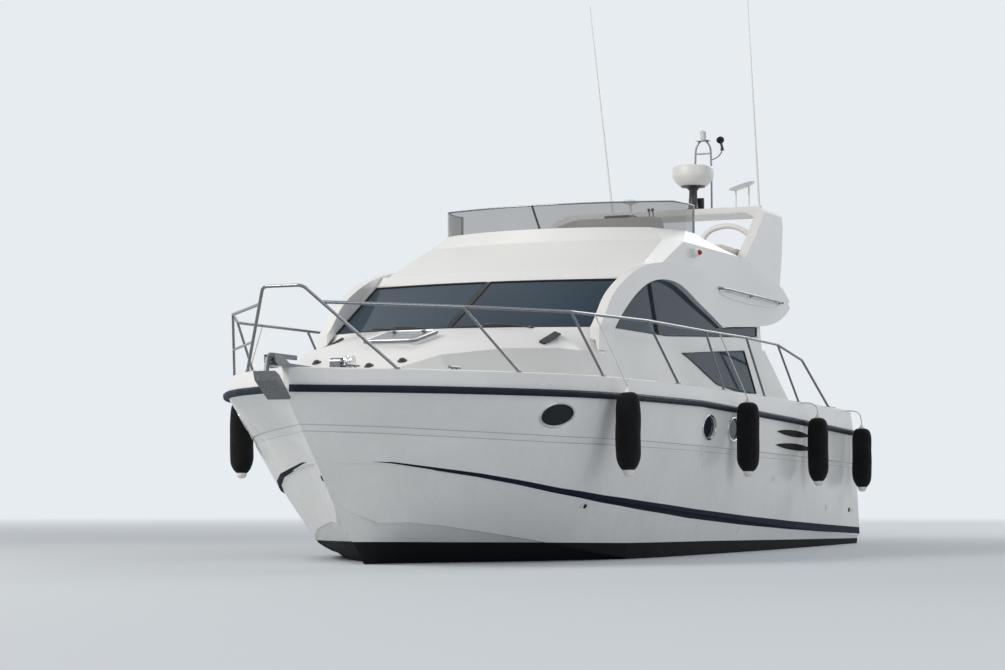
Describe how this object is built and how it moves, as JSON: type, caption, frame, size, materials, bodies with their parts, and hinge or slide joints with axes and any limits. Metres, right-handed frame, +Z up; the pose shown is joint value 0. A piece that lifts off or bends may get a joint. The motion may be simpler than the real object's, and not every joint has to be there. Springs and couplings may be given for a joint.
{
  "type": "flybridge motor yacht with twin propellers",
  "caption": "White flybridge motor yacht afloat on its marks, with turning propellers and rudders, doors, hatches, gate, bathing ladder, radar arch and hung fenders",
  "frame": {"origin": "on the centreline at the waterline, amidships", "axes": "+X forward to the bow, +Y to port, +Z up"},
  "size_m": [12.906, 4.6465, 7.9806],
  "materials": {
    "hull_gelcoat": "glossy white gelcoat with blue lines and dark boot-top",
    "deck_gelcoat": "white gelcoat",
    "rub_rail": "dark navy rubber",
    "tinted_glass": "dark tinted glass",
    "smoked_deflector": "smoked acrylic",
    "smoked_lid": "smoked acrylic in an aluminium frame",
    "stainless": "polished stainless steel",
    "chrome_trim": "chrome",
    "galvanised": "galvanised steel",
    "teak": "laid teak with dark seams",
    "teak_steps": "oiled teak",
    "cabin_floor": "varnished boards",
    "wheel_rim": "black grip",
    "cushion_vinyl": "cream marine vinyl",
    "seat_leather": "dark leather",
    "dash_trim": "pale beige trim",
    "radome_white": "white plastic",
    "black_bracket": "black paint",
    "bronze": "cast bronze",
    "engine_paint": "engine enamel",
    "fender_cover": "black fleece cover"
  },
  "bodies": {
    "boat": {"aft_bulkhead": "deck_gelcoat", "aft_glass": "tinted_glass", "anchor": "galvanised", "bathing_platform": "teak", "bow_roller": "stainless", "cleats": "stainless", "cockpit_bench": "deck_gelcoat", "cockpit_cushion": "cushion_vinyl", "cockpit_sole": "teak", "deck": "deck_gelcoat", "deckhouse": "deck_gelcoat", "engines": "engine_paint", "fenders": "fender_cover", "flybridge": "deck_gelcoat", "flybridge_console": "deck_gelcoat", "flybridge_cushions": "cushion_vinyl", "flybridge_ladder": "teak_steps", "flybridge_seats": "deck_gelcoat", "gps_antenna": "radome_white", "guard_rail_port": "stainless", "guard_rail_starboard": "stainless", "helm_console": "dash_trim", "helm_seat": "seat_leather", "hull": "hull_gelcoat", "nav_mast": "black_bracket", "portholes": "tinted_glass", "pulpit": "stainless", "radar_arch": "deck_gelcoat", "radome": "radome_white", "rub_rail_port": "rub_rail", "rub_rail_starboard": "rub_rail", "saloon_settee": "seat_leather", "saloon_sole": "cabin_floor", "satellite_dish": "radome_white", "shaft_brackets": "bronze", "side_arch_port": "deck_gelcoat", "side_arch_starboard": "deck_gelcoat", "side_glass_port": "tinted_glass", "side_glass_starboard": "tinted_glass", "whip_antennas": "radome_white", "wind_deflector": "smoked_deflector", "windlass": "stainless", "windscreen_glass": "tinted_glass"},
    "propeller_port": {"propeller_port": "bronze"},
    "propeller_starboard": {"propeller_starboard": "bronze"},
    "rudder_port": {"rudder_port": "bronze"},
    "rudder_starboard": {"rudder_starboard": "bronze"},
    "trim_tab_port": {"trim_tab_port": "stainless"},
    "trim_tab_starboard": {"trim_tab_starboard": "stainless"},
    "saloon_door": {"saloon_door": "stainless", "saloon_door_glass": "tinted_glass"},
    "engine_hatch": {"engine_hatch": "teak"},
    "flybridge_hatch": {"flybridge_hatch": "smoked_lid"},
    "foredeck_hatch": {"foredeck_hatch": "smoked_lid"},
    "anchor_locker_lid": {"anchor_locker_lid": "deck_gelcoat"},
    "transom_gate": {"transom_gate": "deck_gelcoat"},
    "bathing_ladder": {"bathing_ladder": "stainless"},
    "windlass_drum": {"windlass_drum": "chrome_trim"},
    "flybridge_wheel": {"flybridge_wheel": "wheel_rim"},
    "saloon_wheel": {"saloon_wheel": "wheel_rim"}
  },
  "joints": [
    {"name": "propeller_port_spin", "type": "hinge", "parent": "boat", "child": "propeller_port", "pos_m": [-5.2, 0.72, -0.86], "axis": [0.9781, 0, 0.2079], "continuous": true},
    {"name": "propeller_starboard_spin", "type": "hinge", "parent": "boat", "child": "propeller_starboard", "pos_m": [-5.2, -0.72, -0.86], "axis": [0.9781, 0, 0.2079], "continuous": true},
    {"name": "rudder_port_turn", "type": "hinge", "parent": "boat", "child": "rudder_port", "pos_m": [-5.68, 0.72, -0.51], "axis": [0, 0, 1], "range_deg": [-35, 35]},
    {"name": "rudder_starboard_turn", "type": "hinge", "parent": "boat", "child": "rudder_starboard", "pos_m": [-5.68, -0.72, -0.51], "axis": [0, 0, 1], "range_deg": [-35, 35]},
    {"name": "trim_tab_port_down", "type": "hinge", "parent": "boat", "child": "trim_tab_port", "pos_m": [-6.00856, 1.14771, -0.31184], "axis": [-0.107, -0.9583, -0.2649], "range_deg": [0, 20]},
    {"name": "trim_tab_starboard_down", "type": "hinge", "parent": "boat", "child": "trim_tab_starboard", "pos_m": [-6.00856, -1.14771, -0.31184], "axis": [0.107, -0.9583, 0.2649], "range_deg": [0, 20]},
    {"name": "saloon_door_slide", "type": "slide", "parent": "boat", "child": "saloon_door", "axis": [0, 1, 0], "range_m": [0, 0.78]},
    {"name": "engine_hatch_lift", "type": "hinge", "parent": "boat", "child": "engine_hatch", "pos_m": [-3.27, 0, 0.9603], "axis": [0, 1, 0], "range_deg": [0, 80]},
    {"name": "flybridge_hatch_lift", "type": "hinge", "parent": "boat", "child": "flybridge_hatch", "pos_m": [-2.87, -0.96, 3.0603], "axis": [0, 1, 0], "range_deg": [0, 80]},
    {"name": "foredeck_hatch_lift", "type": "hinge", "parent": "boat", "child": "foredeck_hatch", "pos_m": [4.21893, 0, 2.09734], "axis": [0, 1, 0], "range_deg": [0, 80]},
    {"name": "anchor_locker_lid_lift", "type": "hinge", "parent": "boat", "child": "anchor_locker_lid", "pos_m": [5.391, 0, 1.7713], "axis": [0, -1, 0], "range_deg": [0, 100]},
    {"name": "transom_gate_swing", "type": "hinge", "parent": "boat", "child": "transom_gate", "pos_m": [-4.866, -1.418, 0.972], "axis": [0, 0, -1], "range_deg": [0, 90]},
    {"name": "bathing_ladder_swing", "type": "hinge", "parent": "boat", "child": "bathing_ladder", "pos_m": [-6.276, -0.7, 0.382], "axis": [0, -1, 0], "range_deg": [0, 265]},
    {"name": "windlass_drum_spin", "type": "hinge", "parent": "boat", "child": "windlass_drum", "pos_m": [5.17, 0.095, 1.87306], "axis": [0, 1, 0], "continuous": true},
    {"name": "flybridge_wheel_turn", "type": "hinge", "parent": "boat", "child": "flybridge_wheel", "pos_m": [-0.475, 0.7, 3.61], "axis": [-0.866, 0, 0.5], "range_deg": [-720, 720]},
    {"name": "saloon_wheel_turn", "type": "hinge", "parent": "boat", "child": "saloon_wheel", "pos_m": [1.625, -0.9, 1.93], "axis": [-0.866, 0, 0.5], "range_deg": [-720, 720]}
  ],
  "couplings": [
    {"joint": "rudder_starboard_turn", "follows": "rudder_port_turn", "ratio": 1}
  ]
}
